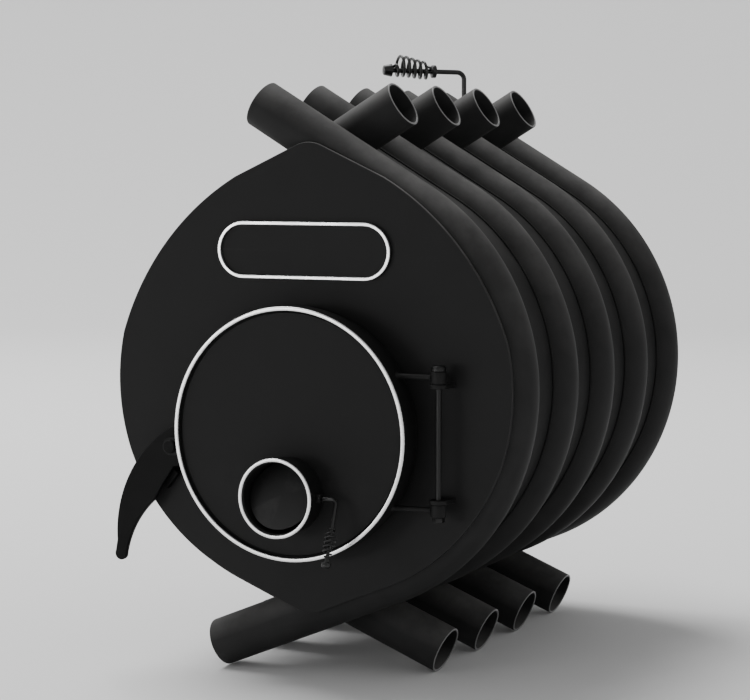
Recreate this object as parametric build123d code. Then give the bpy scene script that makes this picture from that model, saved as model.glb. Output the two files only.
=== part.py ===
from build123d import *
import os
from math import atan2, cos, radians, sin, sqrt, tan

# Convection wood stove: a drum of interleaved bent steel tubes closed by two plates, with a
# round hinged door, an air inlet valve in the door and a damper in the rear flue.
# Millimetres. X to the right seen from the front, Y to the back, Z up.
# The origin is on the floor, in the plane of symmetry, halfway along the row of tubes.

# Tubes
tube_od = 60.0
tube_wall = 3.0
tube_pitch = 68.75
right_count = 5
arc_radius = 256.5
top_turn = 59.2
bottom_turn = 67.6
top_run = 247.0
bottom_run = 257.0
seat_gap = 0.3

# Sheet strips between neighbouring tubes of one side
sheet = 3.0
strip_lift = 7.0

# Front and back plates: how far each stretch of the outline lies beyond the tubes' centre line
plate = 5.0
side_lap = 11.5
shoulder_lap = 7.5
haunch_lap = 19.5
thigh_lap = 8.0
heel_lap = 5.5
crown_rise = 4.5
keel_drop = 6.6
tip_fillet = 40.0

# Door, measured forwards from the front plate's face
door_x = -5.0
door_drop = 54.0
neck_radius = 151.0
neck_wall = 6.0
neck_depth = 30.0
lid_radius = 155.0
lid_wall = 2.5
lid_back = 20.0
lid_front = 46.5
lid_face = 4.0
face_recess = 2.5
trim_thick = 3.5
trim_width = 5.0
trim_overhang = 0.5
rope_radius = 4.7
rope_ring = 147.0
channel_wall = 3.0
shield_radius = 130.0
shield_thick = 3.0
shield_standoff = 13.0
stud_ring = 100.0
stud_radius = 4.0
spacer_radius = 7.5
nut_width = 13.0
nut_height = 6.5

# Hinge
pin_x = 184.0
pin_reach = 25.0
pin_radius = 3.5
pin_head_radius = 9.0
pin_head_height = 7.0
turn_clearance = 0.05
lug_width = 22.0
lug_thick = 5.0
upper_lug_rise = 8.0
lower_lug_drop = 125.0
eye_radius = 9.5
eye_height = 15.0
arm_radius = 3.0

# Latch
latch_x = -180.0
latch_drop = 80.0
latch_pin_radius = 5.0
latch_head_radius = 8.5
latch_head_height = 4.0
lever_back = 12.0
lever_thick = 7.0
ear_thick = 7.0
ear_radius = 11.0
stud_x = -205.0
stud_drop = 112.0
stud_shank = 4.0
stud_head = 8.0
stud_head_thick = 3.0
keeper_wall = 3.0
keeper_width = 26.0
keeper_reach = 14.0
keeper_mouth = 8.5
keeper_slot = 6.5
keeper_slack = 1.5

# Air inlet in the door
inlet_drop = 127.3
inlet_radius = 46.0
inlet_wall = 3.0
inlet_back = 34.0
inlet_front = 80.5
inlet_trim = 4.4
valve_reach = 60.0
valve_rod = 2.2
valve_disc_thick = 2.0
valve_gap = 0.7
valve_tilt = 22.0
valve_hub = 4.4
valve_hub_length = 44.0
valve_bush = 5.5
valve_bush_length = 6.0
valve_bend = 7.0
valve_arm_x = 67.0
valve_reach_down = 80.0

# Flue and its damper
flue_x = -67.0
flue_rise = 165.0
flue_radius = 60.0
flue_wall = 2.5
flue_length = 130.0
spigot_length = 78.0
spigot_step = 1.0
damper_offset = 35.0
damper_rod = 3.6
damper_disc_thick = 2.5
damper_gap = 1.5
damper_angle = 40.0
damper_lift = 1.2
damper_bush = 8.0
damper_bush_length = 12.0
damper_hub = 7.0
damper_hub_length = 70.0
damper_top_rise = 403.0
damper_bend = 11.0
damper_arm = 122.0
flow_hole = 14.0

# Inside the firebox
baffle_rise = 112.0
baffle_thick = 5.0
baffle_front_gap = 78.0
baffle_inset = 8.0
nozzle_radius = 7.0
nozzle_bore = 4.5
nozzle_length = 24.0
nozzle_angle = 52.0
sill_height = 62.0
sill_width = 190.0
sill_thick = 4.0

# Name plate, left bare
name_x = -5.3
name_rise = 167.0
name_half_width = 115.0
name_half_height = 33.0
name_line = 4.2
name_backing = 2.0
name_rim = 4.0

tube_radius = tube_od / 2
tube_bore = tube_radius - tube_wall
top_a = radians(top_turn)
bottom_a = radians(bottom_turn)
centre_z = (arc_radius * sin(bottom_a) + bottom_run * cos(bottom_a)
            + tube_radius * sin(bottom_a))
pack_half = (right_count - 1) * tube_pitch
plate_back_y = pack_half + tube_radius + seat_gap
front_y = -(plate_back_y + plate)
rear_y = plate_back_y + plate
door_z = centre_z - door_drop
os.makedirs("parts", exist_ok=True)


def save(node, shape):
    if isinstance(shape, (list, tuple)):
        shape = Compound(children=list(shape))
    export_step(shape, f"parts/{node}.step")


def ahead(distance):
    """The y of a plane this far in front of the front plate."""
    return front_y - distance


def along_y(sketch, y_front, y_back):
    """A sketch drawn in X and Z, as a solid between two y planes."""
    return extrude(Plane.XZ.offset(-y_back) * sketch, y_back - y_front)


def disc_y(x, z, radius, y_front, y_back):
    return along_y(Pos(x, z) * Circle(radius), y_front, y_back)


def ring_y(x, z, outer, inner, y_front, y_back):
    return along_y(Pos(x, z) * (Circle(outer) - Circle(inner)), y_front, y_back)


def rod(start, end, radius):
    """A round bar between two points."""
    start, end = Vector(*start), Vector(*end)
    base = Plane(origin=start, z_dir=end - start)
    return extrude(base * Circle(radius), (end - start).length)


def rod_along(line, radius):
    """A round bar along a line of edges."""
    return sweep(Plane(origin=line @ 0, z_dir=line % 0) * Circle(radius), path=line)


def hexagon(width):
    return RegularPolygon(width / 2, 6, major_radius=False)


# Tubes and the sheet strips that follow them
def along_tube(side, y, section):
    """A section carried along a tube whose belly is on this side, from its low mouth to its high one."""
    low = Vector(side * arc_radius * cos(bottom_a), y, centre_z - arc_radius * sin(bottom_a))
    high = Vector(side * arc_radius * cos(top_a), y, centre_z + arc_radius * sin(top_a))
    rise = Vector(side * sin(bottom_a), 0, cos(bottom_a))
    lean = Vector(-side * sin(top_a), 0, cos(top_a))
    low_end = low - rise * bottom_run
    low_run = extrude(Plane(origin=low_end, x_dir=(0, 1, 0), z_dir=rise) * section, bottom_run)
    bend = revolve(Plane(origin=low, x_dir=(0, 1, 0), z_dir=rise) * section,
                   Axis((0, y, centre_z), (0, -side, 0)), revolution_arc=bottom_turn + top_turn)
    high_run = extrude(Plane(origin=high, x_dir=(0, 1, 0), z_dir=lean) * section, top_run)
    return low_run + bend + high_run


def bent_tube(side, y, radius, bore=0.0):
    return along_tube(side, y, Circle(radius) - Circle(bore) if bore else Circle(radius))


def flank(lift, turn_a, x):
    """Distance above or below the arc's centre of a tube's straight run, at this x."""
    return (arc_radius + lift - x * cos(turn_a)) / sin(turn_a)


def half_outline(lift, x_end):
    """Edges of one side of the drum at this lift, from the bottom ridge to the top ridge."""
    r = arc_radius + lift
    low_end = (x_end, -flank(lift, bottom_a, x_end))
    low = (r * cos(bottom_a), -r * sin(bottom_a))
    high = (r * cos(top_a), r * sin(top_a))
    high_end = (x_end, flank(lift, top_a, x_end))
    edges = [Line(low_end, low), ThreePointArc(low, (r, 0), high), Line(high, high_end)]
    return low_end, high_end, edges


def crossing_notch(side, y, edge=0):
    """What a tube clears in a sheet that it crosses, also out to the sheet's edge on one side of it."""
    reach = tube_radius + seat_gap
    section = Circle(reach)
    if edge:
        section += Pos(edge * reach, 0) * Rectangle(2 * reach, 2 * reach)
    return along_tube(side, y, section)


def strip(side, y_front, y_back, crossing_y, edge=0):
    """A bent sheet strip, notched round the tube that crosses it at both ridges."""
    out_low, out_high, outer = half_outline(strip_lift + sheet / 2, seat_gap / 2)
    in_low, in_high, inner = half_outline(strip_lift - sheet / 2, seat_gap / 2)
    section = make_face(outer + inner + [Line(out_high, in_high), Line(out_low, in_low)])
    section = Pos(0, centre_z) * section
    if side < 0:
        section = mirror(section, Plane.YZ)
    return along_y(section, y_front, y_back) - crossing_notch(-side, crossing_y, edge)


right_y = [2 * k * tube_pitch - pack_half for k in range(right_count)]
left_y = [y + tube_pitch for y in right_y[:-1]]
grip = sqrt((tube_radius + seat_gap) ** 2 - (strip_lift - sheet / 2) ** 2)

nozzle_a = radians(nozzle_angle)


def nozzle(side, y, radius, start, end):
    """A round bar along a radius of the drum, between two distances from the tube's centre line."""
    reach = [arc_radius - start, arc_radius - end]
    points = [(side * r * cos(nozzle_a), y, centre_z + r * sin(nozzle_a)) for r in reach]
    return rod(points[0], points[1], radius)


nozzle_tubes = [(1, right_y[1]), (-1, left_y[0]), (1, right_y[2]), (-1, left_y[1])]
for k, y in enumerate(right_y):
    tube = bent_tube(1, y, tube_radius, tube_bore)
    if (1, y) in nozzle_tubes:
        tube -= nozzle(1, y, nozzle_radius, 0, tube_od)
    save(f"tube_right_{k + 1}", tube)
for k, y in enumerate(left_y):
    tube = bent_tube(-1, y, tube_radius, tube_bore)
    if (-1, y) in nozzle_tubes:
        tube -= nozzle(-1, y, nozzle_radius, 0, tube_od)
    save(f"tube_left_{k + 1}", tube)
save("injector_nozzles", [
    nozzle(side, y, nozzle_radius, tube_bore - 1, tube_bore - 1 + nozzle_length)
    - nozzle(side, y, nozzle_bore, 0, tube_od)
    for side, y in nozzle_tubes])

for k in range(right_count - 1):
    save(f"strip_right_{k + 1}", strip(1, right_y[k] + grip, right_y[k + 1] - grip, left_y[k]))
for k in range(right_count - 2):
    save(f"strip_left_{k + 1}", strip(-1, left_y[k] + grip, left_y[k + 1] - grip, right_y[k + 1]))
save("strip_left_front", strip(-1, -plate_back_y, left_y[0] - grip, right_y[0], -1))
save("strip_left_rear", strip(-1, left_y[-1] + grip, plate_back_y, right_y[-1], 1))


# Front and back plates
def polar(lap, angle):
    r = arc_radius + lap
    return (r * cos(radians(angle)), r * sin(radians(angle)))


def drum_plate():
    """The pointed plate that closes the drum, drawn about the arc's centre."""
    crown = (0, arc_radius / sin(top_a) + crown_rise)
    keel = (0, -arc_radius / sin(bottom_a) - keel_drop)
    side_top, side_low = polar(side_lap, 13), polar(side_lap, -20)
    haunch, heel = polar(haunch_lap, 68.8), polar(heel_lap, -68.7)
    half = [Line(keel, heel), ThreePointArc(heel, polar(thigh_lap, -47), side_low),
            ThreePointArc(side_low, polar(side_lap, 0), side_top),
            ThreePointArc(side_top, polar(shoulder_lap, 35), haunch), Line(haunch, crown)]
    face = make_face(half + [Line(crown, keel)])
    face = face + mirror(face, Plane.YZ)
    tips = [v for v in face.vertices() if abs(v.X) < 0.01]
    return Pos(0, centre_z) * fillet(tips, tip_fillet)


neck_bore = neck_radius - neck_wall
front = along_y(drum_plate(), front_y, -plate_back_y)
front -= disc_y(door_x, door_z, neck_bore, front_y - 1, front_y + plate + 1)
save("front_plate", front)

flue_z = centre_z + flue_rise
back = along_y(drum_plate(), plate_back_y, rear_y)
back -= disc_y(flue_x, flue_z, flue_radius, plate_back_y - 1, rear_y + 1)
save("back_plate", back)

# Firebox furniture
baffle_half = sqrt(arc_radius ** 2 - (baffle_rise + baffle_thick) ** 2) - baffle_inset
baffle_front = -plate_back_y + baffle_front_gap
baffle = Pos(0, (baffle_front + plate_back_y) / 2, centre_z + baffle_rise + baffle_thick / 2) * Box(
    2 * baffle_half, plate_back_y - baffle_front, baffle_thick)
for side, rows in ((1, right_y), (-1, left_y)):
    for y in rows:
        baffle -= bent_tube(side, y, tube_radius + seat_gap)
save("baffle_plate", baffle)

sill_top = door_z - neck_bore + sill_height
sill = Pos(door_x, sill_top - sill_height / 2) * Rectangle(sill_width, sill_height)
sill &= Pos(0, centre_z) * Circle(arc_radius - tube_radius)
save("ash_sill", along_y(sill, -plate_back_y, -plate_back_y + sill_thick))

# Door neck, lid and what the lid carries
save("door_neck", ring_y(door_x, door_z, neck_radius, neck_bore, ahead(neck_depth), front_y))

face_front = lid_front - face_recess
face_back = face_front - lid_face
inlet_z = centre_z - inlet_drop
lid = ring_y(door_x, door_z, lid_radius, lid_radius - lid_wall, ahead(lid_front), ahead(lid_back))
lid += disc_y(door_x, door_z, lid_radius - lid_wall / 2, ahead(face_front), ahead(face_back))
lid -= disc_y(door_x, inlet_z, inlet_radius, ahead(lid_front), ahead(lid_back))
save("door_lid", lid)
trim_outer = lid_radius + trim_overhang
save("door_trim_ring", ring_y(door_x, door_z, trim_outer, trim_outer - trim_width,
                              ahead(lid_front + trim_thick), ahead(lid_front)))

rope_y = ahead((neck_depth + face_back) / 2)
rope_line = Pos(door_x, rope_y, door_z) * (Rot(90, 0, 0) * Torus(rope_ring, rope_radius))
save("door_seal_rope", rope_line)
channel_outer = rope_ring - rope_radius - seat_gap
save("seal_channel", ring_y(door_x, door_z, channel_outer, channel_outer - channel_wall,
                            ahead(face_back), ahead(neck_depth + 1)))

shield_front = face_back - shield_standoff
shield_back = shield_front - shield_thick
stud_spots = [(door_x + stud_ring * cos(radians(a)), door_z + stud_ring * sin(radians(a)))
              for a in (20, 90, 160)]
shield = disc_y(door_x, door_z, shield_radius, ahead(shield_front), ahead(shield_back))
shield -= disc_y(door_x, inlet_z, inlet_radius, ahead(shield_front), ahead(shield_back))
for x, z in stud_spots:
    shield -= disc_y(x, z, stud_radius, ahead(shield_front), ahead(shield_back))
save("heat_shield", shield)
save("shield_spacers", [ring_y(x, z, spacer_radius, stud_radius, ahead(face_back), ahead(shield_front))
                        for x, z in stud_spots])
nut_back = shield_back - nut_height
save("shield_studs", [disc_y(x, z, stud_radius, ahead(face_back), ahead(nut_back - 2))
                      for x, z in stud_spots])
save("shield_nuts", [along_y(Pos(x, z) * (hexagon(nut_width) - Circle(stud_radius)),
                             ahead(shield_back), ahead(nut_back)) for x, z in stud_spots])

# Hinge: two lugs on the plate, a long pin, and an arm and eye of the door at each end
pin_y = ahead(pin_reach)
upper_lug_z = centre_z + upper_lug_rise
lower_lug_z = centre_z - lower_lug_drop - lug_thick


def hinge_lug(z):
    plan = Pos(pin_x, (pin_y + front_y) / 2) * Rectangle(lug_width, front_y - pin_y)
    plan += Pos(pin_x, pin_y) * Circle(lug_width / 2)
    plan -= Pos(pin_x, pin_y) * Circle(pin_radius)
    return extrude(Pos(0, 0, z) * plan, lug_thick)


def door_arm(z):
    """An eye on the pin, with a round arm welded to the lid's rim."""
    middle = z + eye_height / 2
    eye = Pos(pin_x, pin_y, middle) * Cylinder(eye_radius, eye_height)
    arm = eye + rod((pin_x, pin_y, middle), (door_x, pin_y, middle), arm_radius)
    arm -= Pos(pin_x, pin_y, middle) * Cylinder(pin_radius + turn_clearance, eye_height)
    return arm - disc_y(door_x, door_z, lid_radius, ahead(lid_front), ahead(lid_back))


upper_eye_z = upper_lug_z + lug_thick + seat_gap
lower_eye_z = lower_lug_z - seat_gap - eye_height
pin_top = upper_eye_z + eye_height + seat_gap
pin_low = lower_eye_z - seat_gap
save("hinge_lugs", [hinge_lug(upper_lug_z), hinge_lug(lower_lug_z)])
save("door_arm_upper", door_arm(upper_eye_z))
save("door_arm_lower", door_arm(lower_eye_z))
head = Pos(pin_x, pin_y, pin_top + pin_head_height / 2) * Cylinder(pin_head_radius, pin_head_height)
head = fillet(head.edges().group_by(Axis.Z)[-1], pin_head_height / 2)
pin_end = pin_low - nut_height
save("hinge_pin", head + rod((pin_x, pin_y, pin_end), (pin_x, pin_y, pin_top), pin_radius))
pin_nut = Pos(pin_x, pin_y, pin_end) * (hexagon(nut_width) - Circle(pin_radius))
save("hinge_pin_nut", extrude(pin_nut, nut_height))

# Latch: a curved lever on an ear of the lid, its headed stud, and the slotted keeper on the plate
latch_z = centre_z - latch_drop
lever_front = lever_back + lever_thick
ear_back = lever_front + seat_gap
ear_front = ear_back + ear_thick
stud_z = centre_z - stud_drop

# The lever's edge, from the head's top round the tip and back: X and drop from the arc's centre
head_top = (-181.0, -55.0)
outer_bow = (-236.0, -108.0)
outer_low = (-259.5, -200.0)
tip = (-256.5, -223.5)
inner_low = (-246.5, -219.0)
inner_bow = (-236.0, -187.0)
waist = (-207.0, -150.0)
throat = (-195.0, -128.0)
head_low = (-180.0, -106.0)
lever_edges = [ThreePointArc(head_top, outer_bow, outer_low), Line(outer_low, (-261.5, -212.0)),
               ThreePointArc((-261.5, -212.0), tip, inner_low),
               ThreePointArc(inner_low, inner_bow, waist), Line(waist, throat), Line(throat, head_low),
               ThreePointArc(head_low, (-155.5, -80.5), head_top)]
lever = make_face(lever_edges)
lever = Pos(0, centre_z) * lever
lever -= Pos(latch_x, latch_z) * Circle(latch_pin_radius + turn_clearance)
lever = along_y(lever, ahead(lever_front), ahead(lever_back))
save("latch_lever", lever)

ear = Pos(latch_x, latch_z) * Circle(ear_radius)
ear += Pos((latch_x + door_x) / 2, latch_z) * Rectangle(door_x - latch_x, 2 * ear_radius)
ear -= Pos(latch_x, latch_z) * Circle(latch_pin_radius)
ear -= Pos(door_x, door_z) * Circle(lid_radius)
save("latch_ear", along_y(ear, ahead(ear_front), ahead(ear_back)))
nut_front = lever_back - seat_gap
bolt = disc_y(latch_x, latch_z, latch_pin_radius, ahead(ear_front), ahead(nut_front - latch_head_height))
bolt += disc_y(latch_x, latch_z, latch_head_radius, ahead(ear_front + latch_head_height), ahead(ear_front))
save("latch_pin", bolt)
save("latch_pin_washer", ring_y(latch_x, latch_z, latch_head_radius, latch_pin_radius,
                                ahead(nut_front), ahead(nut_front - latch_head_height)))

stud_back = 2.0
shank = disc_y(stud_x, stud_z, stud_shank, ahead(lever_back), ahead(stud_back))
shank += disc_y(stud_x, stud_z, stud_head, ahead(stud_back + stud_head_thick), ahead(stud_back))
save("latch_stud", shank)

swing = atan2(stud_z - latch_z, stud_x - latch_x)
travel = Plane(origin=(stud_x, 0, stud_z), x_dir=(-sin(swing), 0, cos(swing)), z_dir=(0, -1, 0))
lip_back = stud_back + stud_head_thick + 1.0
keeper_plan = Pos(keeper_mouth + keeper_reach / 2, 0) * Rectangle(keeper_reach, keeper_width)
slot = Pos(keeper_mouth, 0) * SlotOverall(2 * keeper_slot, 2 * (stud_shank + keeper_slack))
wall_plan = Pos(keeper_mouth + keeper_reach - keeper_wall / 2, 0) * Rectangle(keeper_wall, keeper_width)
lip = extrude(travel.offset(-front_y + lip_back) * (keeper_plan - slot), keeper_wall)
wall = extrude(travel.offset(-front_y) * wall_plan, lip_back)
save("latch_keeper", lip + wall)

# Air inlet pipe, its trim ring and its butterfly valve
save("inlet_pipe", ring_y(door_x, inlet_z, inlet_radius, inlet_radius - inlet_wall,
                          ahead(inlet_front), ahead(inlet_back))
     - rod((door_x - 2 * inlet_radius, ahead(valve_reach), inlet_z),
           (door_x + 2 * inlet_radius, ahead(valve_reach), inlet_z), valve_rod + turn_clearance))
inlet_trim_mid = inlet_radius + 0.6
save("inlet_trim_ring", ring_y(door_x, inlet_z, inlet_trim_mid + inlet_trim / 2,
                               inlet_trim_mid - inlet_trim / 2,
                               ahead(inlet_front + trim_thick), ahead(inlet_front)))

valve_y = ahead(valve_reach)


def valve_bush_at(side):
    outer = door_x + side * (inlet_radius + valve_bush_length)
    bush = rod((door_x, valve_y, inlet_z), (outer, valve_y, inlet_z), valve_bush)
    bush -= rod((door_x, valve_y, inlet_z), (outer, valve_y, inlet_z), valve_rod + turn_clearance)
    return bush - disc_y(door_x, inlet_z, inlet_radius, ahead(inlet_front), ahead(inlet_back))


save("inlet_bushes", [valve_bush_at(1), valve_bush_at(-1)])

tilt = radians(valve_tilt)
down = Vector(0, -sin(tilt), -cos(tilt))
valve_plane = Plane(origin=(door_x, valve_y, inlet_z), x_dir=(1, 0, 0), z_dir=(0, cos(tilt), -sin(tilt)))
valve_outline = valve_plane * Circle(inlet_radius - inlet_wall - valve_gap)
valve_disc = extrude(valve_outline, valve_disc_thick / 2, both=True)
valve_hub_half = Vector(valve_hub_length / 2, 0, 0)
valve_centre = Vector(door_x, valve_y, inlet_z)
valve_sleeve = rod(valve_centre - valve_hub_half, valve_centre + valve_hub_half, valve_hub)
valve_half = Vector(inlet_radius, 0, 0)
valve_hole = rod(valve_centre - valve_half, valve_centre + valve_half, valve_rod)
save("inlet_disc", valve_disc + valve_sleeve - valve_hole)

valve_left = Vector(door_x - inlet_radius - valve_bush_length, valve_y, inlet_z)
valve_corner = Vector(valve_arm_x, valve_y, inlet_z)
valve_end = valve_corner + down * valve_reach_down
valve_line = FilletPolyline(valve_left, valve_corner, valve_end, radius=valve_bend)
save("inlet_rod", rod_along(valve_line, valve_rod))


# Wire grips: a tapered helix from a collar to an end cap, wound round the rod
def biarc(p0, t0, p1, t1):
    """Two arcs that leave p0 along t0 and reach p1 along t1."""
    chord = p1 - p0
    total = t0 + t1
    bend = 2 * (1 - t0.dot(t1))
    lean = chord.dot(total)
    if bend > 1e-9:
        reach = (sqrt(lean * lean + bend * chord.dot(chord)) - lean) / bend
    else:
        reach = chord.dot(chord) / (2 * lean)
    corner0, corner1 = p0 + t0 * reach, p1 - t1 * reach
    middle = (corner0 + corner1) / 2
    arcs = []
    for start, corner, end in ((p0, corner0, middle), (middle, corner1, p1)):
        half = (end - start) / 2
        foot = start + half
        rise = corner - foot
        if rise.length < 1e-6:
            arcs.append(Edge.make_line(start, end))
            continue
        sagitta = half.length * tan(atan2(rise.length, half.length) / 2)
        arcs.append(Edge.make_three_point_arc(start, foot + rise.normalized() * sagitta, end))
    return arcs


def grip_coil(base, axis, across, length, turns, wire, radius_at, sit=0.0):
    """One unbroken wire: a straight foot, the turns, and a straight foot at the far end.

    The turns may sit to one side of the rod, more so towards the far end.
    """
    other = axis.cross(across)
    foot = 2 * wire
    lead = 2.2 * wire
    span = length - 2 * foot - 2 * lead
    count = int(turns * 2)

    def spot(step):
        share = step / count
        angle = radians(180 * step)
        off = across * (sit * min(1.0, share * 1.4) * min(1.0, (1 - share) * 5))
        centre = base + axis * (foot + lead + span * share) + off
        return centre + (across * cos(angle) + other * sin(angle)) * radius_at(share)

    def heading(step):
        return (spot(step + 0.01) - spot(step - 0.01)).normalized()

    def foot_spot(angle, radius, height):
        return base + axis * height + (across * cos(angle) + other * sin(angle)) * radius

    lead_turn = radians(75)
    low_in = foot_spot(-lead_turn, radius_at(0), 0)
    low_out = foot_spot(-lead_turn, radius_at(0), foot)
    last = radians(180 * count)
    high_in = foot_spot(last + lead_turn, radius_at(1), length - foot)
    high_out = foot_spot(last + lead_turn, radius_at(1), length)
    edges = [Edge.make_line(low_in, low_out)]
    edges += biarc(low_out, axis, spot(0), heading(0))
    for step in range(count):
        edges += biarc(spot(step), heading(step), spot(step + 1), heading(step + 1))
    edges += biarc(spot(count), heading(count), high_in, axis)
    edges.append(Edge.make_line(high_in, high_out))
    line = Wire(edges)
    samples = [line @ (k / 600) for k in range(601)]
    apart = int(600 * 4 * wire / line.length) + 1
    least = min((samples[a] - samples[b]).length for a in range(601) for b in range(a + apart, 601))
    print("coil: turns", turns, "length", round(line.length, 1), "gap to itself", round(least - 2 * wire, 2))
    return rod_along(line, wire)


def barrel(narrow, near, far):
    """Radius of a grip's turns from the collar's end to the cap's end."""
    def radius_at(share):
        body = near + (far - near) * share
        ease = min(1.0, share * 6, (1 - share) * 6)
        return narrow + (body - narrow) * sin(ease * radians(90))
    return radius_at


valve_wire = 1.0
valve_coil_start = 37.0
valve_coil_length = 32.0
valve_collar = 4.5
valve_collar_thick = 1.6
valve_cap = 5.6
valve_cap_length = 7.0
save("inlet_grip_coil", grip_coil(valve_corner + down * valve_coil_start, down, Vector(1, 0, 0),
                                  valve_coil_length, 5, valve_wire,
                                  barrel(valve_rod + valve_wire + 0.6, 6.0, 6.6)))


def collar_on(origin, axis, start, thick, radius, bore):
    base = Plane(origin=origin + axis * start, z_dir=axis)
    return extrude(base * (Circle(radius) - Circle(bore)), thick)


valve_collar_starts = (valve_coil_start - valve_collar_thick, valve_coil_start + valve_coil_length)
save("inlet_grip_collars", [
    collar_on(valve_corner, down, start, valve_collar_thick, valve_collar, valve_rod)
    for start in valve_collar_starts])
cap_plane = Plane(origin=valve_end, z_dir=down)
valve_knob = extrude(cap_plane.offset(-valve_cap_length / 2) * Circle(valve_cap), valve_cap_length)
valve_knob = fillet(valve_knob.edges(), valve_cap_length / 4)
save("inlet_grip_cap", valve_knob - rod(valve_corner, valve_end, valve_rod))

# Flue stub, damper disc and the damper's rod and grip
damper_y = rear_y + damper_offset
flue_end = rear_y + flue_length
shaft_low = flue_z - flue_radius - damper_bush_length
shaft_top = centre_z + damper_top_rise
rod_hole = rod((flue_x, damper_y, shaft_low), (flue_x, damper_y, flue_z + 2 * flue_radius),
               damper_rod + turn_clearance)
flue_bore = flue_radius - spigot_step - flue_wall
stub = ring_y(flue_x, flue_z, flue_radius, flue_bore, plate_back_y, flue_end - spigot_length)
stub += ring_y(flue_x, flue_z, flue_radius - spigot_step, flue_bore, flue_end - spigot_length, flue_end)
save("flue_stub", stub - rod_hole)


def damper_bush_at(side):
    end_z = flue_z + side * (flue_radius + damper_bush_length)
    bush = rod((flue_x, damper_y, flue_z), (flue_x, damper_y, end_z), damper_bush)
    return bush - rod_hole - disc_y(flue_x, flue_z, flue_radius, rear_y, flue_end)


save("damper_bushes", [damper_bush_at(1), damper_bush_at(-1)])

swung = radians(damper_angle)
lift = radians(damper_lift)
level = Vector(-cos(swung), -sin(swung), 0)
handle = level * cos(lift) + Vector(0, 0, sin(lift))
damper_plane = Plane(origin=(flue_x, damper_y, flue_z), x_dir=level, z_dir=(sin(swung), -cos(swung), 0))
disc_outline = Circle(flue_bore - damper_gap)
for reach in (-1, 1):
    disc_outline -= Pos(reach * flue_radius / 2, 0) * Circle(flow_hole)
damper_disc = extrude(damper_plane * disc_outline, damper_disc_thick / 2, both=True)
damper_disc += rod((flue_x, damper_y, flue_z - damper_hub_length / 2),
                   (flue_x, damper_y, flue_z + damper_hub_length / 2), damper_hub)
damper_disc -= rod((flue_x, damper_y, shaft_low), (flue_x, damper_y, shaft_top), damper_rod)
save("damper_disc", damper_disc)

damper_corner = Vector(flue_x, damper_y, shaft_top)
damper_end = damper_corner + handle * damper_arm
damper_foot = Vector(flue_x, damper_y, shaft_low)
damper_line = FilletPolyline(damper_foot, damper_corner, damper_end, radius=damper_bend)
save("damper_rod", rod_along(damper_line, damper_rod))

damper_wire = 1.9
damper_coil_start = 50.0
damper_coil_length = 61.0
damper_coil_sit = 6.0
damper_collar = 9.5
damper_collar_thick = 6.0
damper_cap = 9.5
aside = Vector(-sin(swung), cos(swung), 0)
save("damper_grip_coil", grip_coil(damper_corner + handle * damper_coil_start, handle, aside.cross(handle),
                                   damper_coil_length, 6, damper_wire,
                                   barrel(damper_rod + damper_wire + 1.0, 11.5, 15.2), damper_coil_sit))
save("damper_grip_collar", collar_on(damper_corner, handle, damper_coil_start - damper_collar_thick,
                                     damper_collar_thick, damper_collar, damper_rod))
cap_start = damper_coil_start + damper_coil_length
cap_length = damper_arm - cap_start + 1.5
cap_wide = Plane(origin=damper_corner + handle * cap_start, z_dir=handle) * Circle(damper_cap)
cap_tip = Plane(origin=damper_corner + handle * (cap_start + cap_length), z_dir=handle)
cap = loft([cap_wide, cap_tip * Circle(damper_cap * 0.75)])
save("damper_grip_cap", cap - rod(damper_corner, damper_end, damper_rod))

# Name plate
def stadium(half_width, half_height):
    return SlotOverall(2 * half_width, 2 * half_height)


name_z = centre_z + name_rise
outer = stadium(name_half_width + name_line / 2, name_half_height + name_line / 2)
inner = stadium(name_half_width - name_line / 2, name_half_height - name_line / 2)
save("name_plate", along_y(Pos(name_x, name_z) * outer, ahead(name_backing), front_y))
save("name_plate_rim", along_y(Pos(name_x, name_z) * (outer - inner), ahead(name_backing + name_rim),
                               ahead(name_backing)))
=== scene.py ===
from math import acos, atan2, cos, pi, radians, sin, sqrt, tan

import bmesh
import bpy
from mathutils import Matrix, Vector
from mathutils.geometry import tessellate_polygon


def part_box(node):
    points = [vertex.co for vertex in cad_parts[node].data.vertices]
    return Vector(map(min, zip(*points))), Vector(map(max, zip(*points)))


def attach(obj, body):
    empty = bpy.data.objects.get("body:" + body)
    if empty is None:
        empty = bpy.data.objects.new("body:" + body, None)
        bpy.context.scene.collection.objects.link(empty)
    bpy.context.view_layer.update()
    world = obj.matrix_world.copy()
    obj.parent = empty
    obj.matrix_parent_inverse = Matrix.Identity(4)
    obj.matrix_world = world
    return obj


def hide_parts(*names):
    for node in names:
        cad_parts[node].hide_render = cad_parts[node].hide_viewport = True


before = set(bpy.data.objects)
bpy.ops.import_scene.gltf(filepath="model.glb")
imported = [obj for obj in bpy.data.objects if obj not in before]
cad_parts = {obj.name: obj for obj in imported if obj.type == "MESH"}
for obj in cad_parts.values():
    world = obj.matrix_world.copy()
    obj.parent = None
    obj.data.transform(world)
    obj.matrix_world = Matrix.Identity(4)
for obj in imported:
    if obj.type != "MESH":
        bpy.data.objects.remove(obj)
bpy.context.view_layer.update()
MM = 0.001

# Radius at which a turned profile meets its axis
pole = 0.01

# The drum's driving dimensions in millimetres, as in the part's source
tube_radius = 30.0
tube_bore = 27.0
arc_radius = 256.5
top_turn = radians(59.2)
bottom_turn = radians(67.6)
top_run = 247.0
bottom_run = 257.0
centre_z = arc_radius * sin(bottom_turn) + bottom_run * cos(bottom_turn) + tube_radius * sin(bottom_turn)
strip_face = 8.5


def node_box(node):
    """Lowest and highest corner of a CAD node, in millimetres."""
    low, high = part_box(node)
    return low / MM, high / MM


def middle_of(node):
    low, high = node_box(node)
    return (low + high) / 2


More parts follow.
